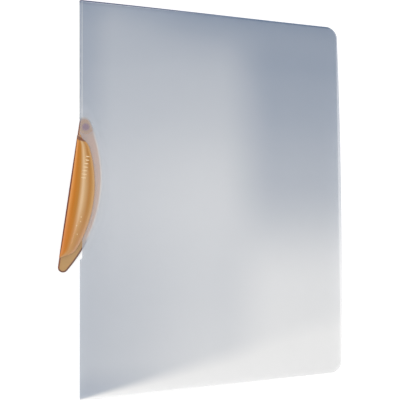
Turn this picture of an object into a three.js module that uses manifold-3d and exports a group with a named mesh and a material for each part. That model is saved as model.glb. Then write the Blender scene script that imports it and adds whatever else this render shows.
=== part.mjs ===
// A4 clip folder: one folded sheet of frosted film with a clip that swings out of its spine.
// It lies on its back cover. Millimetres, +Z up, +X from the spine to the fore edge, +Y to the top.
// The origin is the middle of the back cover's underside.

import * as THREE from 'three';
import { mergeVertices } from 'three/addons/utils/BufferGeometryUtils.js';
import Module from 'manifold-3d';

const wasm = await Module();
wasm.setup();

// Film sheet
const folderWidth = 225;
const folderHeight = 310;
const filmThickness = 0.5;
const paperSpace = 2.4; // clear height inside the spine, about thirty sheets
const backFoldRadius = 0.9; // outer radius of the fold at the back cover
const frontFoldRadius = 2.4; // outer radius of the fold at the front cover
const foreCornerRadius = 10;
const foreEdgeGap = 0.3; // between the covers at the corners of the fore edge
const foreEdgeBow = 3.6; // how far the front cover lifts at the middle of the fore edge
const levelWidth = 26; // the front cover stays level over the clip this far from the spine
const openEdgeInset = 0.6; // the covers' plain edges stand back this far where the spine is open
const foldEaseOut = 3; // length over which the folds flatten at the end of the joined spine

// Swing clip, in its own frame: x across from the pivot, y along its straight edge
const pivotFromSpine = 5;
const pivotFromTop = 99.5;
const swingAtRest = 8; // degrees out of the folder
const straightEdge = 5.3; // from the pivot to the clip's straight outer edge
const leafThickness = 1;
const leafWidth = 24.2;
const leafArcRadius = 110;
const leafMiddle = 53; // middle of the leaf below the pivot
const leafTipRadius = 3.8;
const frontLeafWidth = 19.3;
const frontLeafArcRadius = 100;
const frontLeafMiddle = 57;
const frontLeafStart = 7.8; // below the pivot
const frontLeafEnd = 102.3;
const frontLeafStartSlope = 1.5; // widening per millimetre at the upper end
const frontLeafEndSlope = 2;
const frontLeafRounding = 3;
const wallThickness = 1.2;
const wallEdgeRadius = 0.9;
const bulgeHeight = 1.2;
const bulgeRim = 1.2; // flat rim round the bulge
const bulgeFade = 14; // length over which the bulge dies away at each end

// Pivot rivet
const rivetShankRadius = 1.8;
const rivetHeadRadius = 3;
const rivetHeadThickness = 0.5;
const rivetFootRadius = 3.4; // flush in the back cover's underside

// Clearances
const leafClearance = 0.3; // leaf to film, above and below
const boreClearance = 0.3; // rivet shank to the hub and to the film
const headClearance = 0.3; // rivet head to the hub
const footClearance = 0.05; // rivet foot above the back cover's underside
const swingRoom = 0.4; // clip to the end of the joined spine, at any swing
const wallSideRoom = 1.5; // clip's wall to the side of the notch in the covers, swung in
const wallUpperRoom = 2.1; // clip's wall to the upper end of the notch
const wallLowerRoom = 1;
const notchCorner = 2; // radius of the notch's lower corner
const notchSlant = 3.2; // length of the notch's slanted upper end

// Fineness of the facets
const sheetPitch = 14;
const foldSteps = 5;
const leafPitch = 2.6;
const leafAcrossSteps = 10;
const roundSteps = 48;
const curveSegments = 20;

// Levels and lines worked out from the sizes above
const spineX = -folderWidth / 2;
const foreX = folderWidth / 2;
const topY = folderHeight / 2;
const frontFaceZ = 2 * filmThickness + paperSpace;
const leafBottomZ = filmThickness + leafClearance;
const leafTopZ = leafBottomZ + leafThickness;
const frontLeafBottomZ = frontFaceZ + leafClearance;
const frontLeafTopZ = frontLeafBottomZ + leafThickness;
const pivotX = spineX + pivotFromSpine;
const pivotY = topY - pivotFromTop;
const openEdgeX = spineX + openEdgeInset;

// The big leaf's arc and the centres of its two round tips, from the pivot
const leafArcX = leafWidth - straightEdge - leafArcRadius;
const leafTipX = leafTipRadius - straightEdge;
const leafTipReach = Math.sqrt((leafArcRadius - leafTipRadius) ** 2 - (leafTipX - leafArcX) ** 2);

// Notch in both covers for the clip's wall
const notchX = pivotX - straightEdge + wallThickness + wallSideRoom;
const notchTopY = pivotY - frontLeafStart + wallUpperRoom;
const notchBottomY = pivotY - frontLeafEnd - wallLowerRoom;

// The spine is joined from the top edge down to just above the clip, and open from there down.
function joinEndY() {
  const tipToSpine = leafTipX + pivotFromSpine - filmThickness;
  const tipRise = Math.sqrt(Math.max(leafTipRadius ** 2 - tipToSpine ** 2, 0));
  const swungIn = leafTipReach - leafMiddle + tipRise;
  return pivotY + Math.max(swungIn, straightEdge) + swingRoom;
}

// A closed mesh from a block whose points are moved by a rule.
function warpedBlock(columns, rows, rule) {
  const block = new THREE.BoxGeometry(1, 1, 1, columns, rows, 1);
  const points = block.attributes.position;
  for (let i = 0; i < points.count; i += 1) {
    const place = rule(points.getX(i) + 0.5, points.getY(i) + 0.5, points.getZ(i) + 0.5);
    points.setXYZ(i, place.x, place.y, place.z);
  }
  return block;
}

function solid(geometry) {
  const bare = geometry.clone();
  bare.deleteAttribute('normal');
  bare.deleteAttribute('uv');
  const merged = mergeVertices(bare.index ? bare.toNonIndexed() : bare, 1e-5);
  return new wasm.Manifold(new wasm.Mesh({
    numProp: 3,
    vertProperties: new Float32Array(merged.attributes.position.array),
    triVerts: new Uint32Array(merged.index.array),
  }));
}

function geometryOf(manifold) {
  const mesh = manifold.getMesh();
  const geometry = new THREE.BufferGeometry();
  geometry.setAttribute('position', new THREE.BufferAttribute(new Float32Array(mesh.vertProperties), 3));
  geometry.setIndex(new THREE.BufferAttribute(new Uint32Array(mesh.triVerts), 1));
  geometry.computeVertexNormals();
  return geometry;
}

// An upright prism over an outline drawn in X and Y.
function prism(outline, bottom, top) {
  const body = new THREE.ExtrudeGeometry(outline, {
    depth: top - bottom,
    bevelEnabled: false,
    curveSegments,
  });
  body.translate(0, 0, bottom);
  return solid(body);
}

function rectangle(left, right, low, high) {
  const outline = new THREE.Shape();
  outline.moveTo(left, low);
  outline.lineTo(right, low);
  outline.lineTo(right, high);
  outline.lineTo(left, high);
  outline.closePath();
  return outline;
}

function ease(share) {
  const t = Math.min(Math.max(share, 0), 1);
  return t * t * (3 - 2 * t);
}

// Height of the front cover's mid plane above the table. The cover is level over the clip,
// sinks to the back cover at the fore corners and stays lifted at the middle of the fore edge.
function frontCoverHeight(x, y) {
  const levelHeight = frontFaceZ - filmThickness / 2;
  const lowHeight = 1.5 * filmThickness + foreEdgeGap;
  const along = (x - spineX - levelWidth) / (folderWidth - levelWidth);
  const across = 1 - (y / topY) ** 2;
  return levelHeight - (levelHeight - lowHeight) * ease(along) + foreEdgeBow * across * ease(along);
}

// The sheet's mid line in X and Z, from the back cover's fore edge round the spine to the front
// cover's fore edge, as a list of stations. Turn is the direction of the sheet's outer side.
function sheetStations() {
  const half = filmThickness / 2;
  const columns = Math.max(2, Math.round(folderWidth / sheetPitch));
  const stations = [];
  const backFold = { x: spineX + backFoldRadius, z: backFoldRadius, radius: backFoldRadius - half };
  const frontFold = { x: spineX + frontFoldRadius, z: frontFaceZ - frontFoldRadius, radius: frontFoldRadius - half };
  for (let i = 0; i < columns; i += 1) {
    stations.push({ x: foreX + (backFold.x - foreX) * i / columns, z: half, turn: -Math.PI / 2 });
  }
  for (let i = 0; i <= foldSteps; i += 1) {
    const turn = -(1 + i / foldSteps) * Math.PI / 2;
    const place = foldPoint(backFold, turn);
    stations.push(i < foldSteps ? { ...place, turn, flatZ: half, flatTurn: -Math.PI / 2 } : { ...place, turn });
  }
  for (let i = 0; i <= foldSteps; i += 1) {
    const turn = -(2 + i / foldSteps) * Math.PI / 2;
    const place = foldPoint(frontFold, turn);
    const flat = { flatZ: frontFaceZ - half, flatTurn: -Math.PI * 1.5 };
    stations.push(i > 0 ? { ...place, turn, ...flat } : { ...place, turn });
  }
  for (let i = 1; i <= columns; i += 1) {
    const x = frontFold.x + (foreX - frontFold.x) * i / columns;
    stations.push({ x, turn: -Math.PI * 1.5, front: true });
  }
  return stations;
}

function foldPoint(fold, turn) {
  return { x: fold.x + fold.radius * Math.cos(turn), z: fold.z + fold.radius * Math.sin(turn) };
}

// Lines across the sheet, with a close pair where the folds flatten.
function sheetRows() {
  const end = joinEndY();
  const flat = end - foldEaseOut;
  const rows = [];
  for (const [from, to] of [[-topY, flat], [end, topY]]) {
    const count = Math.max(1, Math.round((to - from) / (2 * sheetPitch)));
    for (let i = 0; i <= count; i += 1) {
      rows.push({ y: from + (to - from) * i / count, folded: to === topY });
    }
  }
  return rows;
}

function foldedSheet() {
  const stations = sheetStations();
  const rows = sheetRows();
  return warpedBlock(stations.length - 1, rows.length - 1, (u, v, w) => {
    const station = stations[Math.round(u * (stations.length - 1))];
    const { y, folded } = rows[Math.round(v * (rows.length - 1))];
    const flattened = !folded && station.flatTurn !== undefined;
    const turn = flattened ? station.flatTurn : station.turn;
    const foldZ = flattened ? station.flatZ : station.z;
    const middle = station.front ? frontCoverHeight(station.x, y) : foldZ;
    const outward = (w - 0.5) * filmThickness;
    return new THREE.Vector3(station.x + outward * Math.cos(turn), y, middle + outward * Math.sin(turn));
  });
}

function sheetOutline() {
  const r = foreCornerRadius;
  const outline = new THREE.Shape();
  outline.moveTo(spineX - 1, -topY);
  outline.lineTo(foreX - r, -topY);
  outline.absarc(foreX - r, -topY + r, r, -Math.PI / 2, 0, false);
  outline.lineTo(foreX, topY - r);
  outline.absarc(foreX - r, topY - r, r, 0, Math.PI / 2, false);
  outline.lineTo(spineX - 1, topY);
  outline.closePath();
  return outline;
}

// The notch in both covers, with its slanted upper end and round lower corner.
function notchOutline() {
  const outline = new THREE.Shape();
  outline.moveTo(spineX - 1, notchBottomY);
  outline.lineTo(notchX - notchCorner, notchBottomY);
  outline.absarc(notchX - notchCorner, notchBottomY + notchCorner, notchCorner, -Math.PI / 2, 0, false);
  outline.lineTo(notchX, notchTopY - notchSlant);
  outline.quadraticCurveTo(notchX, notchTopY, openEdgeX, notchTopY);
  outline.lineTo(spineX - 1, notchTopY);
  outline.closePath();
  return outline;
}

function filmSheetGeometry() {
  const under = -1;
  const above = frontFaceZ + foreEdgeBow + 1;
  const openSpine = prism(rectangle(spineX - 1, openEdgeX, -topY - 1, joinEndY()), under, above);
  const rivetHole = new THREE.LatheGeometry(footProfile(boreClearance / 2, under, 2 * filmThickness), roundSteps);
  rivetHole.rotateX(Math.PI / 2);
  rivetHole.translate(pivotX, pivotY, 0);
  const sheet = solid(foldedSheet())
    .intersect(prism(sheetOutline(), under, above))
    .subtract(openSpine)
    .subtract(prism(notchOutline(), under, above))
    .subtract(solid(rivetHole));
  return geometryOf(sheet);
}

// Half section of the hole for the rivet's cone foot and shank, from the axis out and back.
function footProfile(clearance, bottom, top) {
  const foot = rivetFootRadius + clearance;
  const shank = rivetShankRadius + clearance;
  return [
    new THREE.Vector2(0, bottom),
    new THREE.Vector2(foot, bottom),
    new THREE.Vector2(foot, Math.max(bottom, 0)),
    new THREE.Vector2(shank, filmThickness),
    new THREE.Vector2(shank, top),
    new THREE.Vector2(0, top),
  ];
}

function rivetGeometry() {
  const headBottom = leafTopZ + headClearance;
  const headTop = headBottom + rivetHeadThickness;
  const crown = rivetHeadThickness / 2;
  const profile = [
    new THREE.Vector2(0, footClearance),
    new THREE.Vector2(rivetFootRadius - footClearance, footClearance),
    new THREE.Vector2(rivetShankRadius, filmThickness),
    new THREE.Vector2(rivetShankRadius, headBottom),
    new THREE.Vector2(rivetHeadRadius, headBottom),
    new THREE.Vector2(rivetHeadRadius, headTop - crown),
    new THREE.Vector2(rivetHeadRadius - crown, headTop),
    new THREE.Vector2(0, headTop),
  ];
  const rivet = new THREE.LatheGeometry(profile, roundSteps);
  rivet.rotateX(Math.PI / 2);
  return rivet;
}

// The big leaf is a D: a straight edge, a wide arc and two small round tips.
function bigLeafOutline() {
  const upperTipY = leafTipReach - leafMiddle;
  const lowerTipY = -leafTipReach - leafMiddle;
  const tipTurn = Math.atan2(leafTipReach, leafTipX - leafArcX);
  const outline = new THREE.Shape();
  outline.moveTo(-straightEdge, upperTipY);
  outline.lineTo(-straightEdge, lowerTipY);
  outline.absarc(leafTipX, lowerTipY, leafTipRadius, Math.PI, 2 * Math.PI - tipTurn, false);
  outline.absarc(leafArcX, -leafMiddle, leafArcRadius, -tipTurn, tipTurn, false);
  outline.absarc(leafTipX, upperTipY, leafTipRadius, tipTurn, Math.PI, false);
  return outline;
}

function smoothMin(a, b) {
  const mix = Math.max(frontLeafRounding - Math.abs(a - b), 0) / frontLeafRounding;
  return Math.min(a, b) - mix * mix * frontLeafRounding / 4;
}

// How far the front leaf reaches across, at a distance below the pivot.
function frontLeafReach(below) {
  const inner = -straightEdge + wallThickness;
  const offset = below - frontLeafMiddle;
  const arc = -straightEdge + frontLeafWidth - frontLeafArcRadius
    + Math.sqrt(frontLeafArcRadius ** 2 - offset ** 2);
  const upper = inner + 0.1 + frontLeafStartSlope * (below - frontLeafStart);
  const lower = inner + 0.1 + frontLeafEndSlope * (frontLeafEnd - below);
  return Math.max(smoothMin(smoothMin(arc, upper), lower), inner + 0.05);
}

// Rise of the front leaf over its flat rim.
function bulgeRise(share, width, below) {
  const rim = Math.min(bulgeRim / width, 0.45);
  const inside = Math.min(Math.max((share - rim) / (1 - 2 * rim), 0), 1);
  const ends = Math.min(below - frontLeafStart, frontLeafEnd - below) / bulgeFade;
  return bulgeHeight * Math.sin(Math.PI * inside) ** 2 * ease(ends);
}

function frontLeaf() {
  const inner = -straightEdge + wallThickness / 2;
  const steps = Math.max(4, Math.round((frontLeafEnd - frontLeafStart) / leafPitch));
  return warpedBlock(leafAcrossSteps, steps, (u, v, w) => {
    const below = frontLeafEnd - v * (frontLeafEnd - frontLeafStart);
    const width = frontLeafReach(below) - inner;
    const lift = bulgeRise(u, width, below);
    return new THREE.Vector3(inner + u * width, -below, frontLeafBottomZ + lift + w * leafThickness);
  });
}

// The wall that joins the two leaves, with its round outer edge, drawn in section.
function wallBlock() {
  const outer = straightEdge;
  const inner = straightEdge - wallThickness;
  const r = wallEdgeRadius;
  const section = new THREE.Shape();
  section.moveTo(-inner, leafBottomZ);
  section.lineTo(-inner, frontLeafTopZ);
  section.lineTo(-outer + r, frontLeafTopZ);
  section.absarc(-outer + r, frontLeafTopZ - r, r, Math.PI / 2, Math.PI, false);
  section.lineTo(-outer, leafBottomZ);
  section.closePath();
  const wall = new THREE.ExtrudeGeometry(section, {
    depth: frontLeafEnd - frontLeafStart,
    bevelEnabled: false,
    curveSegments: 6,
  });
  wall.rotateX(Math.PI / 2);
  wall.translate(0, -frontLeafStart, 0);
  return solid(wall);
}

function clipGeometry() {
  const bore = new THREE.CylinderGeometry(
    rivetShankRadius + boreClearance,
    rivetShankRadius + boreClearance,
    4 * leafThickness,
    roundSteps,
  );
  bore.rotateX(Math.PI / 2);
  bore.translate(0, 0, leafBottomZ);
  const bigLeaf = prism(bigLeafOutline(), leafBottomZ, leafTopZ);
  const clip = bigLeaf.add(wallBlock()).add(solid(frontLeaf())).subtract(solid(bore));
  return geometryOf(clip);
}

// Materials
function frostedFilm() {
  return new THREE.MeshStandardMaterial({ color: 0xc4c9d4, roughness: 0.45, metalness: 0 });
}

function orangePlastic() {
  return new THREE.MeshStandardMaterial({ color: 0xc8812f, roughness: 0.25, metalness: 0 });
}

function greyPlastic() {
  return new THREE.MeshStandardMaterial({ color: 0x98878d, roughness: 0.35, metalness: 0 });
}

function named(name, geometry, material) {
  const mesh = new THREE.Mesh(geometry, material);
  mesh.name = name;
  return mesh;
}

// Assembly
const folder = new THREE.Group();
folder.add(named('film_sheet', filmSheetGeometry(), frostedFilm()));

const pivot = new THREE.Group();
pivot.position.set(pivotX, pivotY, 0);
pivot.add(named('pivot_rivet', rivetGeometry(), greyPlastic()));

const swing = new THREE.Group();
swing.rotation.z = -THREE.MathUtils.degToRad(swingAtRest);
swing.add(named('swing_clip', clipGeometry(), orangePlastic()));
pivot.add(swing);
folder.add(pivot);

export default folder;
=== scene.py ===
import math

import bmesh
import bpy
from mathutils import Matrix, Vector


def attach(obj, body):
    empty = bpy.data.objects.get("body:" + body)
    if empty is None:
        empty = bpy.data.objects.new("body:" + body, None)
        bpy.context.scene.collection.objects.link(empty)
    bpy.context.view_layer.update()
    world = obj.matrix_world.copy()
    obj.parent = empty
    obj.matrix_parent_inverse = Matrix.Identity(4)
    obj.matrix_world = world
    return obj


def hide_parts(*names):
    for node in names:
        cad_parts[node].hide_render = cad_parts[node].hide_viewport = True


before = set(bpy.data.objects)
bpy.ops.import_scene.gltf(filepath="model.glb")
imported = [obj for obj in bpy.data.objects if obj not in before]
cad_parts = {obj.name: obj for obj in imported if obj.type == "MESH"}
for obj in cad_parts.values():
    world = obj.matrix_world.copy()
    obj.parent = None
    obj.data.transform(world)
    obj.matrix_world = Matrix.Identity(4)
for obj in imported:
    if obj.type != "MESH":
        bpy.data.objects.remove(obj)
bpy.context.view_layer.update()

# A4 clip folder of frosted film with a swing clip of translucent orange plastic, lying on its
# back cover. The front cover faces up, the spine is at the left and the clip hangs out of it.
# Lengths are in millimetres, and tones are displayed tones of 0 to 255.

mm = 0.001


# Camera
# A plain lens straight over the spine, turned a little towards the fore edge, so the folder narrows to the
# right.
camera_place = (-93.3, -9.76, 332.67)
camera_turn_degrees = (1.473, -13.106, -0.377)
camera_lens = 36.89
sensor_width = 36
near_clip = 10
camera_data = bpy.data.cameras.new("camera")
camera_data.lens = camera_lens
camera_data.sensor_width = sensor_width
camera_data.clip_start = near_clip * mm
camera = bpy.data.objects.new("camera", camera_data)
camera.location = [v * mm for v in camera_place]
camera.rotation_euler = [math.radians(v) for v in camera_turn_degrees]
bpy.context.scene.collection.objects.link(camera)
bpy.context.scene.camera = camera
bpy.context.scene.view_settings.view_transform = "Standard"


# Table and light
# A plain white table under the folder, a pale even sky and one narrow soft lamp over the clip.
# The lens sees table and sky as white, and the folder gets a little less light from them.
table_size = 3000
table_gap = 0.05
table_white_share = 0.8
table_roughness = 0.9
table_lift = 0.35
sky_strength = 0.78
sky_strength_seen = 1.0
lamp_place = (-100, 0, 1000)
lamp_size = (140, 700)
lamp_watts = 2.9


def material_start(name):
    material = bpy.data.materials.new(name)
    material.use_nodes = True
    tree = material.node_tree
    tree.nodes.clear()
    output = tree.nodes.new("ShaderNodeOutputMaterial")
    shader = tree.nodes.new("ShaderNodeBsdfPrincipled")
    tree.links.new(shader.outputs["BSDF"], output.inputs["Surface"])
    return material, tree, shader


def put(tree, value, socket):
    """Links a node's output to the socket, or writes a plain value to it."""
    if isinstance(value, bpy.types.NodeSocket):
        tree.links.new(value, socket)
    else:
        socket.default_value = value


def math_node(tree, operation, *values, clamp=False):
    node = tree.nodes.new("ShaderNodeMath")
    node.operation = operation
    node.use_clamp = clamp
    for socket, value in zip(node.inputs, values):
        put(tree, value, socket)
    return node.outputs[0]


def spread(tree, share, low, high):
    """A share of 0 to 1, spread evenly from low to high."""
    node = tree.nodes.new("ShaderNodeMapRange")
    node.inputs["To Min"].default_value = low
    node.inputs["To Max"].default_value = high
    tree.links.new(share, node.inputs["Value"])
    return node.outputs["Result"]


def seen_by_lens(tree):
    """1 for what the lens sees, also through clear plastic, and 0 for light on the folder."""
    rays = tree.nodes.new("ShaderNodeLightPath").outputs
    return math_node(tree, "MAXIMUM", rays["Is Camera Ray"], rays["Is Transmission Ray"])


def mesh_object(name, points, faces):
    mesh = bpy.data.meshes.new(name)
    mesh.from_pydata([tuple(v * mm for v in p) for p in points], [], faces)
    mesh.validate()
    obj = bpy.data.objects.new(name, mesh)
    bpy.context.scene.collection.objects.link(obj)
    return obj


half_table = table_size / 2
table = mesh_object(
    "table",
    [(-half_table, -half_table, -table_gap), (half_table, -half_table, -table_gap),
     (half_table, half_table, -table_gap), (-half_table, half_table, -table_gap)],
    [(0, 1, 2, 3)],
)
table_white, table_tree, table_shader = material_start("table_white")
table_shader.inputs["Base Color"].default_value = (table_white_share,) * 3 + (1,)
table_shader.inputs["Roughness"].default_value = table_roughness
table_shader.inputs["Specular IOR Level"].default_value = 0
table_shader.inputs["Emission Color"].default_value = (1, 1, 1, 1)
table_glow = math_node(table_tree, "MULTIPLY", seen_by_lens(table_tree), table_lift)
put(table_tree, table_glow, table_shader.inputs["Emission Strength"])
table.data.materials.append(table_white)

sky = bpy.data.worlds.new("studio")
sky.use_nodes = True
sky_tree = sky.node_tree
background = sky_tree.nodes["Background"]
background.inputs["Color"].default_value = (1, 1, 1, 1)
sky_level = spread(sky_tree, seen_by_lens(sky_tree), sky_strength, sky_strength_seen)
put(sky_tree, sky_level, background.inputs["Strength"])
bpy.context.scene.world = sky

lamp_data = bpy.data.lights.new("soft_lamp", "AREA")
lamp_data.shape = "RECTANGLE"
lamp_data.size = lamp_size[0] * mm
lamp_data.size_y = lamp_size[1] * mm
lamp_data.energy = lamp_watts
lamp = bpy.data.objects.new("soft_lamp", lamp_data)
lamp.location = [v * mm for v in lamp_place]
bpy.context.scene.collection.objects.link(lamp)


# Film sheet
# Back cover, spine and front cover are one sheet of frosted polypropylene film, die-cut and
# folded. The spine is joined above the clip only; below it both covers have plain edges and a
# notch for the clip's wall.
width = 225.0
height = 310.0
film_thickness = 0.5
paper_space = 2.4
back_fold_radius = 0.9
front_fold_radius = 2.4
corner_radius = 10.0
fore_gap = 0.3
fore_bow = 3.6
level_width = 26.0
open_inset = 0.6
pivot_inset = 5.0
pivot_drop = 99.5
notch_edge = 2.4
notch_above = 5.7
notch_below = 103.3
notch_corner = 2.0
notch_slant = 3.2
join_above_pivot = 6.8
fold_ease = 3.0

half_film = film_thickness / 2
spine_x = -width / 2
fore_x = width / 2
top_y = height / 2
front_face = 2 * film_thickness + paper_space
pivot = Vector((spine_x + pivot_inset, top_y - pivot_drop, 0))
notch_top = pivot.y - notch_above
notch_bottom = pivot.y - notch_below
join_end = pivot.y + join_above_pivot

# The sheet's mesh: closer lines at its corners, its folds and the notch's ends
long_steps = 40
corner_steps = 12
notch_steps = 8
shoulder_steps = 6
wall_steps = 8
cover_steps = 26
edge_strip = 0.5
notch_jump = 0.01
closest_lines = 0.004
weld_distance = 0.002
tiny = 1e-6


def ease(t):
    t = min(max(t, 0.0), 1.0)
    return t * t * (3 - 2 * t)


def front_height(x, y):
    """The front cover's mid line: level by the spine, and bowed up between its two fore corners."""
    level = front_face - half_film
    low = 1.5 * film_thickness + fore_gap
    along = ease((x - spine_x - level_width) / (width - level_width))
    across = 1 - (y / top_y) ** 2
    return level - (level - low) * along + fore_bow * across * along


def left_edge(y):
    """The covers' left edge, from the spine line, where the spine is open."""
    if y > notch_top or y < notch_bottom:
        return open_inset
    if y < notch_bottom + notch_corner:
        rise = y - notch_bottom
        bend = math.sqrt(max(notch_corner ** 2 - (notch_corner - rise) ** 2, 0))
        return notch_edge - notch_corner + bend
    if y > notch_top - notch_slant:
        drop = (notch_top - y) / notch_slant
        turn = 1 - math.sqrt(1 - drop)
        return open_inset + (notch_edge - open_inset) * (2 * turn - turn * turn)
    return notch_edge


def fore_edge(y):
    over = abs(y) - (top_y - corner_radius)
    if over <= 0:
        return fore_x
    return fore_x - corner_radius + math.sqrt(max(corner_radius ** 2 - over ** 2, 0))


def span(low, high, count):
    return [low + (high - low) * i / count for i in range(count + 1)]


# Shares of a cover's width, from its fold to its fore edge
cover_lines = [0.0, 0.004] + span(0.02, 0.985, cover_steps) + [0.996, 1.0]


def film_rows():
    """Lines across the sheet, from the foot to the top."""
    lines = span(-top_y + corner_radius, top_y - corner_radius, long_steps)
    for turn in span(0, math.pi / 2, corner_steps):
        reach = corner_radius * (1 - math.sin(turn))
        lines += [top_y - reach, -top_y + reach]
    lines += span(notch_bottom - notch_jump, notch_bottom + notch_corner, notch_steps)
    lines += span(notch_top - notch_slant, notch_top, notch_steps)
    lines += [notch_top + notch_jump, join_end, join_end - fold_ease]
    lines += [-top_y + edge_strip, top_y - edge_strip]
    lines = sorted(lines)
    kept = [lines[0]]
    for y in lines[1:]:
        if y - kept[-1] > closest_lines:
            kept.append(y)
    return kept


def fold_point(centre_x, centre_z, radius, turn):
    return centre_x + radius * math.cos(turn), centre_z + radius * math.sin(turn)


def film_row(y):
    """The sheet's mid line at one height of the folder, from fore edge over the spine to fore edge."""
    joined = y >= join_end - tiny
    right = fore_edge(y)
    crease = spine_x + front_fold_radius
    back_crease = spine_x + back_fold_radius
    left = spine_x + left_edge(y)
    centre_z = front_face - front_fold_radius
    middle_radius = front_fold_radius - half_film
    cut_turn = math.acos(-(front_fold_radius - open_inset) / middle_radius)
    points = []
    for t in reversed(cover_lines):
        x = crease + (right - crease) * t
        points.append((x, y, front_height(x, y)))
    for share in span(0, 1, shoulder_steps)[1:]:
        if joined:
            turn = math.pi / 2 + (cut_turn - math.pi / 2) * share
            x, z = fold_point(crease, centre_z, middle_radius, turn)
        else:
            x, z = crease + (left - crease) * share, front_face - half_film
        points.append((x, y, z))
    for i, share in enumerate(span(0, 1, wall_steps)[1:], 1):
        turn = cut_turn + (math.pi * 1.5 - cut_turn) * share
        if turn < math.pi:
            x, z = fold_point(crease, centre_z, middle_radius, turn)
        else:
            x, z = fold_point(back_crease, back_fold_radius, back_fold_radius - half_film, turn)
        points.append((x, y, z) if joined or i == wall_steps else None)
    if not joined:
        points[-1] = (left, y, half_film)
    start = back_crease if joined else left
    for t in cover_lines[1:]:
        points.append((start + (right - start) * t, y, half_film))
    return points


def film_surface():
    """The sheet's mid surface, without faces where the spine is open and in the notch."""
    rows = [film_row(y) for y in film_rows()]
    points, index = [], []
    for row in rows:
        line = []
        for p in row:
            line.append(len(points) if p else None)
            if p:
                points.append(p)
        index.append(line)
    faces = []
    shoulder_start = len(cover_lines) - 1
    wall_start = shoulder_start + shoulder_steps
    for a, b, row, above in zip(index, index[1:], rows, rows[1:]):
        below_join = row[0][1] < join_end - tiny
        for i in range(len(a) - 1):
            corners = (a[i], a[i + 1], b[i + 1], b[i])
            in_wall = wall_start <= i < wall_start + wall_steps
            if None in corners or in_wall and below_join:
                continue
            narrow = row[i][0] - row[i + 1][0] < tiny and above[i][0] - above[i + 1][0] < tiny
            if shoulder_start <= i < wall_start and narrow:
                continue
            faces.append(corners)
    return mesh_object("film_sheet_surface", points, faces)


def finished(obj, name, sharp_degrees=35):
    """A plain mesh of the object with its modifiers applied, smooth but for its sharp edges."""
    bpy.context.view_layer.update()
    graph = bpy.context.evaluated_depsgraph_get()
    mesh = bpy.data.meshes.new_from_object(obj.evaluated_get(graph))
    bpy.data.objects.remove(obj)
    mesh.shade_smooth()
    mesh.set_sharp_from_angle(angle=math.radians(sharp_degrees))
    result = bpy.data.objects.new(name, mesh)
    bpy.context.scene.collection.objects.link(result)
    return result


film = film_surface()
merge = bmesh.new()
merge.from_mesh(film.data)
bmesh.ops.remove_doubles(merge, verts=merge.verts, dist=weld_distance * mm)
bmesh.ops.recalc_face_normals(merge, faces=merge.faces)
merge.to_mesh(film.data)
merge.free()
mid_faces = len(film.data.polygons)
thickness = film.modifiers.new("thickness", "SOLIDIFY")
thickness.thickness = film_thickness * mm
thickness.offset = 0
thickness.use_even_offset = True
film = finished(film, "film_sheet_skin")


def outer_skin(mesh, count):
    """Marks each face: 1 on the side that faces out and on the cut edges, 0 on the side that faces in."""
    first_is_outer = mesh.polygons[0].normal.z > 0
    values = []
    for face in mesh.polygons:
        first = face.index < count
        rim = face.index >= 2 * count
        values.append(1.0 if rim or first == first_is_outer else 0.0)
    mesh.attributes.new("outer_skin", "FLOAT", "FACE").data.foreach_set("value", values)


outer_skin(film.data, mid_faces)


def fine_frost(name):
    """Shader group for the frosting of film and plastic: a fine height and a broad mottle."""
    mottle_per_metre = 14
    group = bpy.data.node_groups.new(name, "ShaderNodeTree")
    group.interface.new_socket("Grain per metre", in_out="INPUT", socket_type="NodeSocketFloat")
    group.interface.new_socket("Height", in_out="OUTPUT", socket_type="NodeSocketFloat")
    group.interface.new_socket("Mottle", in_out="OUTPUT", socket_type="NodeSocketFloat")
    start = group.nodes.new("NodeGroupInput")
    end = group.nodes.new("NodeGroupOutput")
    place = group.nodes.new("ShaderNodeTexCoord")
    fine = group.nodes.new("ShaderNodeTexNoise")
    fine.inputs["Detail"].default_value = 3
    broad = group.nodes.new("ShaderNodeTexNoise")
    broad.inputs["Scale"].default_value = mottle_per_metre
    broad.inputs["Detail"].default_value = 2
    group.links.new(place.outputs["Object"], fine.inputs["Vector"])
    group.links.new(place.outputs["Object"], broad.inputs["Vector"])
    group.links.new(start.outputs["Grain per metre"], fine.inputs["Scale"])
    group.links.new(fine.outputs["Fac"], end.inputs["Height"])
    group.links.new(broad.outputs["Fac"], end.inputs["Mottle"])
    return group


frost = fine_frost("fine_frost")
grain_depth = 0.1


def frosted(tree, shader, grain_per_metre, strength):
    """Puts the fine frosting on the shader as a bump, and gives its broad mottle."""
    grain = tree.nodes.new("ShaderNodeGroup")
    grain.node_tree = frost
    grain.inputs["Grain per metre"].default_value = grain_per_metre
    bump = tree.nodes.new("ShaderNodeBump")
    bump.inputs["Strength"].default_value = strength
    bump.inputs["Distance"].default_value = grain_depth * mm
    tree.links.new(grain.outputs["Height"], bump.inputs["Height"])
    tree.links.new(bump.outputs["Normal"], shader.inputs["Normal"])
    return grain.outputs["Mottle"]


def linear(tone):
    """Linear light of a displayed tone."""
    share = tone / 255
    return share / 12.92 if share <= 0.04045 else ((share + 0.055) / 1.055) ** 2.4


def smooth_step(tree, value, band, start=0.0, end=1.0):
    """A smooth step from start to end while the value, in metres, crosses a band given in mm."""
    node = tree.nodes.new("ShaderNodeMapRange")
    node.interpolation_type = "SMOOTHSTEP"
    node.inputs["From Min"].default_value = band[0] * mm
    node.inputs["From Max"].default_value = band[1] * mm
    node.inputs["To Min"].default_value = start
    node.inputs["To Max"].default_value = end
    tree.links.new(value, node.inputs["Value"])
    return node.outputs["Result"]


def smooth_curve(tree, share, stops):
    """A smooth curve through the stops over a share of 0 to 1."""
    node = tree.nodes.new("ShaderNodeFloatCurve")
    curve = node.mapping.curves[0]
    curve.points[0].location = stops[0]
    curve.points[1].location = stops[-1]
    for stop in stops[1:-1]:
        curve.points.new(*stop)
    node.mapping.update()
    tree.links.new(share, node.inputs["Value"])
    return node.outputs["Value"]


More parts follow.
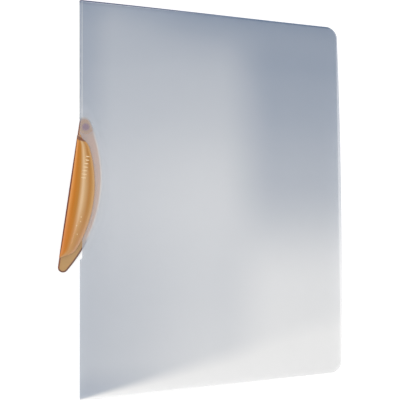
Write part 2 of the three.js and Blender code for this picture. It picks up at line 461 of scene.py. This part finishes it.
def colour_ramp(tree, value, stops):
    """Colour over a value, from stops of value and linear colour."""
    ramp = tree.nodes.new("ShaderNodeValToRGB")
    elements = ramp.color_ramp.elements
    for i, (place, tint) in enumerate(stops):
        element = elements[i] if i < 2 else elements.new(place)
        element.position = place
        element.color = list(tint) + [1]
    tree.links.new(value, ramp.inputs["Fac"])
    return ramp.outputs["Color"]


def blend(tree, kind, factor, a, b):
    """Blend of two numbers (FLOAT) or two colours (RGBA): a at factor 0 and b at factor 1."""
    node = tree.nodes.new("ShaderNodeMix")
    node.data_type = kind
    for name, value in (("Factor", factor), ("A", a), ("B", b)):
        put(tree, value, node.inputs[name])
    return node.outputs["Result"]


def distance_from(tree, place, point):
    node = tree.nodes.new("ShaderNodeVectorMath")
    node.operation = "DISTANCE"
    node.inputs[1].default_value = point
    tree.links.new(place, node.inputs[0])
    return node.outputs["Value"]


def mesh_mark(tree, name):
    node = tree.nodes.new("ShaderNodeAttribute")
    node.attribute_name = name
    return node.outputs["Fac"]


one_tone = 1 / 255


def film_painted_tone(tree, x, y, top_cut):
    """Painted light, shade and reflection over the sheet, as a share of displayed white: grey at the top
    and paler down the folder.
    """
    tones_below_top = [(0, 152), (38, 184), (88, 197), (138, 209), (240, 211), (310, 219)]
    down = math_node(tree, "MULTIPLY_ADD", y, -1 / (height * mm), 0.5, clamp=True)
    stops = [(below / height, tone * one_tone) for below, tone in tones_below_top]
    tone = smooth_curve(tree, down, stops)

    # Painted light near the spine: a little paler at the top and darker towards the foot
    spine_band = (spine_x + 5, spine_x + 110)
    top_band = (top_y - 50, top_y)
    foot_band = (-top_y, -top_y + 30)
    fall = -20 * one_tone
    top_change = 16 * one_tone
    foot_change = -15 * one_tone
    by_spine = math_node(tree, "MULTIPLY", down, fall)
    by_spine = math_node(tree, "ADD", by_spine, smooth_step(tree, y, top_band, 0, top_change))
    by_spine = math_node(tree, "ADD", by_spine, smooth_step(tree, y, foot_band, foot_change, 0))
    near_spine = smooth_step(tree, x, spine_band, 1, 0)
    tone = math_node(tree, "MULTIPLY_ADD", by_spine, near_spine, tone)

    # Towards the fore edge, painted shade in the upper half and painted light in the lower half
    fore_band = (spine_x + 112, spine_x + 165)
    half_band = (-78, 20)
    fading_band = (top_y - 45, top_y)
    low_change = 14 * one_tone
    high_change = -24 * one_tone
    left_at_top = 0.1
    by_fore = smooth_step(tree, y, half_band, low_change, high_change)
    by_fore = math_node(tree, "MULTIPLY", by_fore, smooth_step(tree, y, fading_band, 1, left_at_top))
    tone = math_node(tree, "MULTIPLY_ADD", by_fore, smooth_step(tree, x, fore_band), tone)

    # Soft shade along the spine, mostly in the upper half
    shade_band = (spine_x + 2, spine_x + 28)
    rising_band = (-70, 40)
    deepest = 14 * one_tone
    least_share = 0.25
    shade = smooth_step(tree, x, shade_band, deepest, 0)
    shade = math_node(tree, "MULTIPLY", shade, smooth_step(tree, y, rising_band, least_share, 1))
    tone = math_node(tree, "SUBTRACT", tone, shade)

    # Painted light in a pale wedge along the bottom edge, which widens away from the spine: its slopes are
    # in mm a metre
    wedge_tone = 242
    wedge_slopes = (50, 275)
    wedge_point = spine_x - 5
    up = math_node(tree, "ADD", y, top_y * mm)
    out = math_node(tree, "ADD", x, -wedge_point * mm)
    wedge = smooth_step(tree, math_node(tree, "DIVIDE", up, out), wedge_slopes, 1, 0)
    tone = blend(tree, "FLOAT", wedge, tone, wedge_tone * one_tone)

    # Fold lines of the joined spine, as painted shade and highlight: dark fold, pale face, dark crease and
    # pale crease side by side
    fold_width = 3.2
    no_change = 0.5
    fold_shade_and_highlight = [(0, 0.64), (0.2, 0.66), (0.3, 0.5), (0.37, 0.42), (0.48, 0.43), (0.58, 0.6),
                  (0.72, 0.62), (0.82, 0.51), (1, no_change)]
    joint_band = (join_end - 1, join_end + 1)
    across = math_node(tree, "MULTIPLY_ADD", x, 1 / (fold_width * mm), -spine_x / fold_width, clamp=True)
    change = math_node(tree, "SUBTRACT", smooth_curve(tree, across, fold_shade_and_highlight), no_change)
    tone = math_node(tree, "MULTIPLY_ADD", change, smooth_step(tree, y, joint_band), tone)

    # Painted shade on the cut top edge, dark near the spine and fading along it
    cut_band = (spine_x, spine_x + 150)
    cut_at_spine = 0.42
    cut_far_off = 0.1
    fading = smooth_step(tree, x, cut_band, cut_at_spine, cut_far_off)
    cut_shade = math_node(tree, "MULTIPLY", top_cut, fading)
    return math_node(tree, "SUBTRACT", tone, cut_shade)


def film_colour(tone):
    """Colour of the film alone for a painted tone: white is neutral, and darker tones turn blue as a
    painted cool reflection.
    """
    white_tone = 235
    see_through = 0.065
    cover_gain = 0.84
    darkest = 0.01
    palest = 0.97
    cool = max(white_tone - tone, 0)
    red = tone - 0.1 * cool - 0.001 * cool ** 2
    green = tone - 0.03 * cool
    blue = tone + 0.12 * cool + 0.0009 * cool ** 2
    own = [(linear(v) - see_through) / cover_gain for v in (red, green, blue)]
    return [min(max(v, darkest), palest) for v in own]


# The big leaf's arc is needed here too, because the film is clearer where the clip presses on it
swing = 8.0
straight_edge = 5.3
leaf_width = 24.2
leaf_radius = 110.0
leaf_middle = 53.0
leaf_arc_x = leaf_width - straight_edge - leaf_radius
clip_place = Matrix.Translation(pivot * mm) @ Matrix.Rotation(math.radians(-swing), 4, "Z")
leaf_arc_centre = clip_place @ (Vector((leaf_arc_x, -leaf_middle, front_face)) * mm)


def film_alpha(tree, place, top_cut):
    """How dense the film is: its inner side is left clear, and its own shadow is kept light."""
    plain = 0.58
    over_leaf = 0.42
    over_hub = 0.3
    inner_side = 0.05
    at_cut = 0.9
    let_through = 0.7
    leaf_band = (leaf_radius - 1, leaf_radius + 8)
    hub_band = (4.5, 8.5)
    hub_centre = (pivot.x * mm, pivot.y * mm, front_face * mm)
    from_arc = distance_from(tree, place, leaf_arc_centre)
    from_hub = distance_from(tree, place, hub_centre)
    leaf_body = smooth_step(tree, from_arc, leaf_band, over_leaf, plain)
    hub_body = smooth_step(tree, from_hub, hub_band, over_hub, plain)
    body = math_node(tree, "MINIMUM", leaf_body, hub_body)
    alpha = math_node(tree, "MULTIPLY_ADD", mesh_mark(tree, "outer_skin"), body, inner_side)
    dense = math_node(tree, "MULTIPLY", top_cut, at_cut)
    alpha = math_node(tree, "MAXIMUM", alpha, dense)
    rays = tree.nodes.new("ShaderNodeLightPath").outputs
    kept = math_node(tree, "MULTIPLY_ADD", rays["Is Shadow Ray"], -let_through, 1.0)
    return math_node(tree, "MULTIPLY", alpha, kept)


def frosted_film():
    """Frosted film: cool grey with painted light, shade and reflection over it, clear enough to show the
    clip's leaf, with a soft sheen.
    """
    film_tones = (60, 140, 170, 200, 235, 255)
    cut_band = (top_y - 1.1, top_y - 0.3)
    roughness = (0.42, 0.52)
    material, tree, shader = material_start("frosted_film")
    place = tree.nodes.new("ShaderNodeTexCoord").outputs["Object"]
    parts = tree.nodes.new("ShaderNodeSeparateXYZ")
    tree.links.new(place, parts.inputs[0])
    x, y = parts.outputs["X"], parts.outputs["Y"]
    top_cut = smooth_step(tree, y, cut_band)
    tone = film_painted_tone(tree, x, y, top_cut)
    colour = colour_ramp(tree, tone, [(v * one_tone, film_colour(v)) for v in film_tones])
    put(tree, colour, shader.inputs["Base Color"])
    mottle = frosted(tree, shader, grain_per_metre=2500, strength=0.1)
    put(tree, spread(tree, mottle, *roughness), shader.inputs["Roughness"])
    put(tree, film_alpha(tree, place, top_cut), shader.inputs["Alpha"])
    shader.inputs["Specular IOR Level"].default_value = 0.3
    return material


film.data.materials.append(frosted_film())
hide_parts("film_sheet")
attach(film, "folder")


# Swing clip
# One moulded piece of clear orange plastic, held by the rivet in its hub: a big D-shaped leaf
# under the front cover, a wall along its straight edge, and a raised front leaf over the cover.
# It is shaped around its pivot, and then turned and put in place.
leaf_thickness = 1.0
leaf_tip = 3.8
leaf_gap = 0.3
edge_round = 0.3
front_width = 19.3
front_radius = 100.0
front_middle = 57.0
front_start = 7.8
front_end = 102.3
front_start_slope = 1.5
front_end_slope = 2.0
front_rounding = 3.0
front_least = 0.1
outer_rounding = 0.9
front_tip = 0.45
wall_thickness = 1.2
wall_foot = 0.3
bulge_height = 1.2
bulge_rim = 1.2
bulge_fade = 14.0
most_rim_share = 0.45
bore_radius = 2.1

leaf_bottom = film_thickness + leaf_gap
leaf_top = leaf_bottom + leaf_thickness
front_bottom = front_face + leaf_gap
front_top = front_bottom + leaf_thickness

# The clip's mesh: lines in from the big leaf's edge, and stations at the ends of the front leaf
tip_steps = 20
arc_steps = 110
bore_steps = 64
leaf_rings = (0.6, 0.9, 1.3, 1.8, 2.6)
end_stations = (0, 0.15, 0.5, 1, 1.6, 2.3, 3.1, 4, 5)
middle_stations = 64
middle_start = 6
under_steps = 22
over_steps = 28
round_steps = 8
inner_rows = 3
outer_rows = 4
row_gap = 0.3


def leaf_outline():
    """Outline of the big leaf, anticlockwise: a flat arc between two round ends."""
    tip_x = leaf_tip - straight_edge
    reach = math.sqrt((leaf_radius - leaf_tip) ** 2 - (tip_x - leaf_arc_x) ** 2)
    turn = math.atan2(reach, tip_x - leaf_arc_x)
    parts = (
        (tip_x, -leaf_middle - reach, leaf_tip, span(math.pi, 2 * math.pi - turn, tip_steps)),
        (leaf_arc_x, -leaf_middle, leaf_radius, span(-turn, turn, arc_steps)[1:-1]),
        (tip_x, -leaf_middle + reach, leaf_tip, span(turn, math.pi, tip_steps)),
    )
    return [(x + r * math.cos(a), y + r * math.sin(a)) for x, y, r, turns in parts for a in turns]


def inset(outline, amount):
    moved = []
    for i, (x, y) in enumerate(outline):
        before = Vector(outline[i - 1])
        after = Vector(outline[(i + 1) % len(outline)])
        along = (after - before).normalized()
        moved.append((x - along.y * amount, y + along.x * amount))
    return moved


def rounded_plate(name, outline, low, high, radius, steps=4, rings=()):
    """A flat plate over an outline with rounded edges; the outline runs anticlockwise."""
    levels = [(d, low) for d in reversed(rings)]
    for a in span(0, math.pi / 2, steps):
        levels.append((radius * (1 - math.sin(a)), low + radius * (1 - math.cos(a))))
    for a in span(0, math.pi / 2, steps):
        levels.append((radius * (1 - math.cos(a)), high - radius * (1 - math.sin(a))))
    levels += [(d, high) for d in rings]
    points, faces = [], []
    count = len(outline)
    for amount, z in levels:
        points += [(x, y, z) for x, y in inset(outline, amount)]
    for level in range(len(levels) - 1):
        a = level * count
        for i in range(count):
            j = (i + 1) % count
            faces.append((a + i, a + j, a + count + j, a + count + i))
    faces.append(tuple(reversed(range(count))))
    faces.append(tuple(range((len(levels) - 1) * count, len(levels) * count)))
    return mesh_object(name, points, faces)


def smooth_min(a, b):
    mix = max(front_rounding - abs(a - b), 0) / front_rounding
    return min(a, b) - mix * mix * front_rounding / 4


def front_reach(below):
    """How far the front leaf reaches from the pivot line: an arc between two slanted ends."""
    inner = -straight_edge + wall_thickness
    arc = -straight_edge + front_width - front_radius
    arc += math.sqrt(front_radius ** 2 - (below - front_middle) ** 2)
    upper = inner + front_least + front_start_slope * (below - front_start)
    lower = inner + front_least + front_end_slope * (front_end - below)
    return max(smooth_min(smooth_min(arc, upper), lower), inner + front_least / 2)


def bulge(x, below):
    """Rise of the front leaf's crest."""
    inner = -straight_edge + wall_thickness / 2
    reach = front_reach(below) - inner
    rim = min(bulge_rim / reach, most_rim_share)
    inside = min(max(((x - inner) / reach - rim) / (1 - 2 * rim), 0), 1)
    ends = min(below - front_start, front_end - below) / bulge_fade
    return bulge_height * math.sin(math.pi * inside) ** 2 * ease(ends)


def channel_section(below):
    """Section of the wall and the front leaf at a distance below the pivot, anticlockwise."""
    outer = -straight_edge
    inner = outer + wall_thickness
    right = front_reach(below)
    tip = min(front_tip, (right - inner) * 0.4)
    root = min(row_gap, (right - inner) * 0.3)
    half_leaf = leaf_thickness / 2
    foot = leaf_bottom + wall_foot
    section = [(inner, foot)]
    section += [(inner, z) for z in span(leaf_top + 0.2, front_bottom - row_gap, inner_rows)]
    for x in span(inner + root, right - tip, under_steps):
        section.append((x, front_bottom + bulge(x, below)))
    for a in span(-math.pi / 2, math.pi / 2, round_steps)[1:-1]:
        section.append((right - tip + tip * math.cos(a), front_bottom + half_leaf * (1 + math.sin(a))))
    for x in span(right - tip, outer + outer_rounding, over_steps):
        section.append((x, front_top + bulge(x, below)))
    for a in span(math.pi / 2, math.pi, round_steps)[1:]:
        x = outer + outer_rounding * (1 + math.cos(a))
        section.append((x, front_top - outer_rounding * (1 - math.sin(a))))
    section += [(outer, z) for z in span(front_top - outer_rounding - row_gap, foot, outer_rows)]
    return section


def channel():
    """The wall and the front leaf, as one closed shape over stations along the clip."""
    stations = [front_start + d for d in end_stations]
    stations += span(front_start + middle_start, front_end - middle_start, middle_stations)
    stations += [front_end - d for d in reversed(end_stations)]
    points, faces = [], []
    for below in stations:
        section = channel_section(below)
        count = len(section)
        points += [(x, -below, z) for x, z in section]
    for s in range(len(stations) - 1):
        a = s * count
        for i in range(count):
            j = (i + 1) % count
            faces.append((a + i, a + count + i, a + count + j, a + j))
    faces.append(tuple(range(count)))
    faces.append(tuple(reversed(range((len(stations) - 1) * count, len(stations) * count))))
    return mesh_object("clip_channel", points, faces)


def round_cutter(radius, low, high):
    outline = [(radius * math.cos(a), radius * math.sin(a)) for a in span(0, 2 * math.pi, bore_steps)[:-1]]
    return rounded_plate("clip_bore", outline, low, high, 0.01, 1)


def outward(obj):
    shape = bmesh.new()
    shape.from_mesh(obj.data)
    bmesh.ops.recalc_face_normals(shape, faces=shape.faces)
    shape.to_mesh(obj.data)
    shape.free()


leaf = rounded_plate("clip_leaf", leaf_outline(), leaf_bottom, leaf_top, edge_round, rings=leaf_rings)
arch = channel()
bore = round_cutter(bore_radius, leaf_bottom - 1, leaf_top + 0.5)
for shape in (leaf, arch, bore):
    outward(shape)
for shape, operation in ((arch, "UNION"), (bore, "DIFFERENCE")):
    cut = leaf.modifiers.new(operation.lower(), "BOOLEAN")
    cut.operation = operation
    cut.solver = "EXACT"
    cut.object = shape
clip = finished(leaf, "swing_clip_body", 30)
for shape in (arch, bore):
    bpy.data.objects.remove(shape)


def line_distance(x, y, line):
    """Shortest distance in plan from a point to a line of points."""
    nearest = math.inf
    for (ax, ay), (bx, by) in zip(line, line[1:]):
        dx, dy = bx - ax, by - ay
        t = min(max(((x - ax) * dx + (y - ay) * dy) / max(dx * dx + dy * dy, 1e-12), 0), 1)
        nearest = min(nearest, math.hypot(x - ax - t * dx, y - ay - t * dy))
    return nearest


def mark_leaves(mesh):
    """Per point: which leaf it is on, how far in from that leaf's edge, and where across the front leaf."""
    wall_share = 0.18
    wall_depth = 1.2
    marks = {"front_leaf": [], "rim": [], "across": [], "straight": []}
    big_line = leaf_outline()
    big_line.append(big_line[0])
    front_line = [(front_reach(below), -below) for below in span(front_start, front_end, 90)]
    for vertex in mesh.vertices:
        x, y, z = [v / mm for v in vertex.co]
        below = min(max(-y, front_start), front_end)
        on_front = z > leaf_top + 0.1
        on_wall = on_front and x < 0.05 - straight_edge and z < front_top - wall_depth
        share = (x + straight_edge) / (front_reach(below) + straight_edge)
        marks["front_leaf"].append(1.0 if on_front else 0.0)
        marks["rim"].append(line_distance(x, y, front_line if on_front else big_line))
        marks["across"].append(wall_share if on_wall else share)
        marks["straight"].append((x + straight_edge) * mm)
    for name, values in marks.items():
        mesh.attributes.new(name, "FLOAT", "POINT").data.foreach_set("value", values)


mark_leaves(clip.data)
clip.data.transform(clip_place)


def tone_ramp(tree, value, stops):
    """Colour over a value, from stops of value and displayed tones."""
    return colour_ramp(tree, value, [(place, [linear(v) for v in tones]) for place, tones in stops])


def clear_orange():
    """Clear orange plastic: deep where it is thick and paler in a single leaf, with painted highlights and
    painted shade over it.
    """
    wall_edge_shade = (118, 48, 27)
    # Across the front leaf: painted shade at the rounded outer edge, a painted highlight along the straight
    # edge and on the crest, deep orange between, painted shade on the slope beyond the crest and a painted
    # highlight at the free edge
    across_front = [
        (0.0, wall_edge_shade), (0.045, wall_edge_shade), (0.08, (236, 158, 68)), (0.22, (208, 128, 28)),
        (0.38, (200, 136, 52)), (0.5, (224, 186, 136)), (0.58, (224, 186, 136)), (0.78, (194, 136, 68)),
        (0.93, (196, 144, 62)), (1.0, (212, 172, 128)),
    ]
    # Lower down, the crest's painted highlight is weaker
    across_low = [
        (0.0, wall_edge_shade), (0.045, wall_edge_shade), (0.08, (228, 140, 58)), (0.32, (210, 130, 38)),
        (0.6, (208, 158, 98)), (0.93, (196, 144, 96)), (1.0, (214, 176, 140)),
    ]
    # At the front leaf's upper end: a painted highlight on its edge over a painted shadow
    upper_end = [
        (0.0, (226, 204, 190)), (0.14, (220, 192, 172)), (0.24, (132, 84, 60)), (0.5, (140, 88, 56)),
        (0.62, (190, 118, 48)), (1.0, (208, 128, 26)),
    ]
    # Under the film, a painted highlight along the big leaf's edge, then its own orange
    covered_leaf = [
        (0.0, (255, 250, 244)), (0.27, (255, 246, 234)), (0.34, (222, 158, 84)), (1.0, (226, 158, 72)),
    ]
    # At the tab, painted shade along the edge, then the paler tint of a single leaf
    tab_leaf = [
        (0.0, (104, 56, 26)), (0.24, (112, 62, 28)), (0.34, (186, 142, 82)), (1.0, (190, 150, 88)),
    ]
    # Painted shade along the straight edge; at the hub, a painted highlight towards its edge
    straight_rim = [(0.0, (130, 66, 46)), (1.0, (198, 142, 66))]
    hub_plastic = [(0.0, (214, 184, 150)), (0.4, (198, 142, 66))]
    material, tree, shader = material_start("clear_orange_plastic")
    mottle = frosted(tree, shader, grain_per_metre=400, strength=0.04)
    place = tree.nodes.new("ShaderNodeTexCoord").outputs["Object"]
    from_pivot = distance_from(tree, place, clip_place @ Vector((0, 0, leaf_top * mm)))

    # The front leaf, read from the wall to its free edge, high up and low down, and its upper end, all with
    # painted highlight and shade
    low_band = (58, 88)
    end_band = (11.8, 12.6)
    end_length = 8
    across = mesh_mark(tree, "across")
    high = tone_ramp(tree, across, across_front)
    low = tone_ramp(tree, across, across_low)
    front = blend(tree, "RGBA", smooth_step(tree, from_pivot, low_band), high, low)
    along_end = math_node(tree, "MULTIPLY_ADD", from_pivot, 1 / (end_length * mm), -1, clamp=True)
    at_end = smooth_step(tree, from_pivot, end_band, 1, 0)
    front = blend(tree, "RGBA", at_end, front, tone_ramp(tree, along_end, upper_end))

    # The big leaf, read inwards from its edge: under the film, at the tab, the hub and the straight edge,
    # with painted highlight and shade along its edges
    tab_band = (84, 92)
    hub_band = (4, 12)
    straight_band = (0.8, 1.4)
    rim_reading = 4
    inward = math_node(tree, "DIVIDE", mesh_mark(tree, "rim"), rim_reading, clamp=True)
    on_tab = smooth_step(tree, from_pivot, tab_band)
    on_hub = smooth_step(tree, from_pivot, hub_band, 1, 0)
    on_straight = smooth_step(tree, mesh_mark(tree, "straight"), straight_band, 1, 0)
    big = tone_ramp(tree, inward, covered_leaf)
    for share, stops in ((on_tab, tab_leaf), (on_hub, hub_plastic), (on_straight, straight_rim)):
        big = blend(tree, "RGBA", share, big, tone_ramp(tree, inward, stops))
    colour = blend(tree, "RGBA", mesh_mark(tree, "front_leaf"), big, front)

    # Faint flow marks of the moulding
    flow_brightness = (0.93, 1.07)
    flow = tree.nodes.new("ShaderNodeHueSaturation")
    put(tree, spread(tree, mottle, *flow_brightness), flow.inputs["Value"])
    put(tree, colour, flow.inputs["Color"])
    put(tree, flow.outputs["Color"], shader.inputs["Base Color"])

    # Light passes through it, so its own shadow is light
    let_through = 0.6
    rays = tree.nodes.new("ShaderNodeLightPath").outputs
    alpha = math_node(tree, "MULTIPLY_ADD", rays["Is Shadow Ray"], -let_through, 1.0)
    put(tree, alpha, shader.inputs["Alpha"])
    shader.inputs["Roughness"].default_value = 0.3
    shader.inputs["IOR"].default_value = 1.49
    shader.inputs["Specular IOR Level"].default_value = 0.25
    shader.inputs["Transmission Weight"].default_value = 0.25
    return material


clip.data.materials.append(clear_orange())
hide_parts("swing_clip")
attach(clip, "clip")


# Moulded marks
# Plain short ridges across the crest of the front leaf, and a few small pips below them. They
# are part of the clip's moulding and carry no word.
ridge_count = 7
ridge_start = 23.0
ridge_step = 2.8
ridge_x = 4.4
ridge_drift = 0.04
ridge_size = (4.2, 1.0, 0.26)
pip_size = (1.0, 1.0, 0.2)
pip_places = [(6.6, 69.9), (6.6, 73.4), (4.2, 76.8), (5.5, 83.3)]


def moulded_marks():
    """Geometry Nodes: one low rounded mark on each point of a mesh."""
    tree = bpy.data.node_groups.new("moulded_marks", "GeometryNodeTree")
    tree.interface.new_socket("Places", in_out="INPUT", socket_type="NodeSocketGeometry")
    for name in ("Length", "Width", "Height", "Turn"):
        tree.interface.new_socket(name, in_out="INPUT", socket_type="NodeSocketFloat")
    tree.interface.new_socket("Material", in_out="INPUT", socket_type="NodeSocketMaterial")
    tree.interface.new_socket("Marks", in_out="OUTPUT", socket_type="NodeSocketGeometry")
    start = tree.nodes.new("NodeGroupInput")
    end = tree.nodes.new("NodeGroupOutput")
    points = tree.nodes.new("GeometryNodeMeshToPoints")
    ball = tree.nodes.new("GeometryNodeMeshIcoSphere")
    ball.inputs["Radius"].default_value = 0.5
    ball.inputs["Subdivisions"].default_value = 2
    size = tree.nodes.new("ShaderNodeCombineXYZ")
    turn = tree.nodes.new("ShaderNodeCombineXYZ")
    place = tree.nodes.new("GeometryNodeInstanceOnPoints")
    real = tree.nodes.new("GeometryNodeRealizeInstances")
    smooth = tree.nodes.new("GeometryNodeSetShadeSmooth")
    paint = tree.nodes.new("GeometryNodeSetMaterial")
    tree.links.new(start.outputs["Places"], points.inputs["Mesh"])
    tree.links.new(start.outputs["Length"], size.inputs["X"])
    tree.links.new(start.outputs["Width"], size.inputs["Y"])
    tree.links.new(start.outputs["Height"], size.inputs["Z"])
    tree.links.new(start.outputs["Turn"], turn.inputs["Z"])
    tree.links.new(points.outputs["Points"], place.inputs["Points"])
    tree.links.new(ball.outputs["Mesh"], place.inputs["Instance"])
    tree.links.new(turn.outputs["Vector"], place.inputs["Rotation"])
    tree.links.new(size.outputs["Vector"], place.inputs["Scale"])
    tree.links.new(place.outputs["Instances"], smooth.inputs["Geometry"])
    tree.links.new(smooth.outputs["Geometry"], real.inputs["Geometry"])
    tree.links.new(real.outputs["Geometry"], paint.inputs["Geometry"])
    tree.links.new(start.outputs["Material"], paint.inputs["Material"])
    tree.links.new(paint.outputs["Geometry"], end.inputs["Marks"])
    return tree


def pale_orange():
    """The clip's plastic where it is raised and catches the light."""
    material, tree, shader = material_start("orange_plastic_marks")
    mottle = frosted(tree, shader, grain_per_metre=900, strength=0.05)
    colour = tone_ramp(tree, mottle, [(0.2, (226, 190, 142)), (0.8, (236, 206, 164))])
    put(tree, colour, shader.inputs["Base Color"])
    shader.inputs["Roughness"].default_value = 0.3
    return material


def marks_on_leaf(name, places, size, tree, material):
    """Marks of one size on the front leaf, at places of x and distance below the pivot, half sunk in."""
    raised = [(x, -below, front_top + bulge(x, below)) for x, below in places]
    obj = mesh_object(name + "_places", raised, [])
    obj.data.transform(clip_place)
    modifier = obj.modifiers.new("marks", "NODES")
    modifier.node_group = tree
    values = {
        "Length": size[0] * mm,
        "Width": size[1] * mm,
        "Height": size[2] * mm * 2,
        "Turn": math.radians(-swing),
        "Material": material,
    }
    for item in tree.interface.items_tree:
        if item.in_out == "INPUT" and item.name in values:
            modifier[item.identifier] = values[item.name]
    marks = finished(obj, name)
    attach(marks, "clip")


mark_tree = moulded_marks()
mark_material = pale_orange()
ridge_places = [(ridge_x - ridge_drift * i, ridge_start + ridge_step * i) for i in range(ridge_count)]
marks_on_leaf("clip_ridges", ridge_places, ridge_size, mark_tree, mark_material)
marks_on_leaf("clip_pips", pip_places, pip_size, mark_tree, mark_material)


# Pivot rivet
# A plum grey plastic rivet with a low head, pushed up through the back cover and the hub. Its
# cone foot is flush with the underside of the cover.
def rivet_plastic():
    """Plain plastic, dark in the middle of the head and paler at its thin rim."""
    middle_dark = (0.22, 0.05, 0.09, 1)
    middle_light = (0.28, 0.08, 0.12, 1)
    rim_colour = (0.44, 0.22, 0.14, 1)
    rim_band = (1.7, 3.2)
    material, tree, shader = material_start("rivet_plastic")
    mottle = frosted(tree, shader, grain_per_metre=900, strength=0.1)
    middle = blend(tree, "RGBA", mottle, middle_dark, middle_light)
    plan = tree.nodes.new("ShaderNodeVectorMath")
    plan.operation = "MULTIPLY"
    plan.inputs[1].default_value = (1, 1, 0)
    tree.links.new(tree.nodes.new("ShaderNodeTexCoord").outputs["Object"], plan.inputs[0])
    to_rim = smooth_step(tree, distance_from(tree, plan.outputs[0], pivot * mm), rim_band)
    put(tree, blend(tree, "RGBA", to_rim, middle, rim_colour), shader.inputs["Base Color"])
    shader.inputs["Roughness"].default_value = 0.5
    shader.inputs["Specular IOR Level"].default_value = 0.25
    return material


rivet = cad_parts["pivot_rivet"]
rivet.data.materials.clear()
rivet.data.materials.append(rivet_plastic())
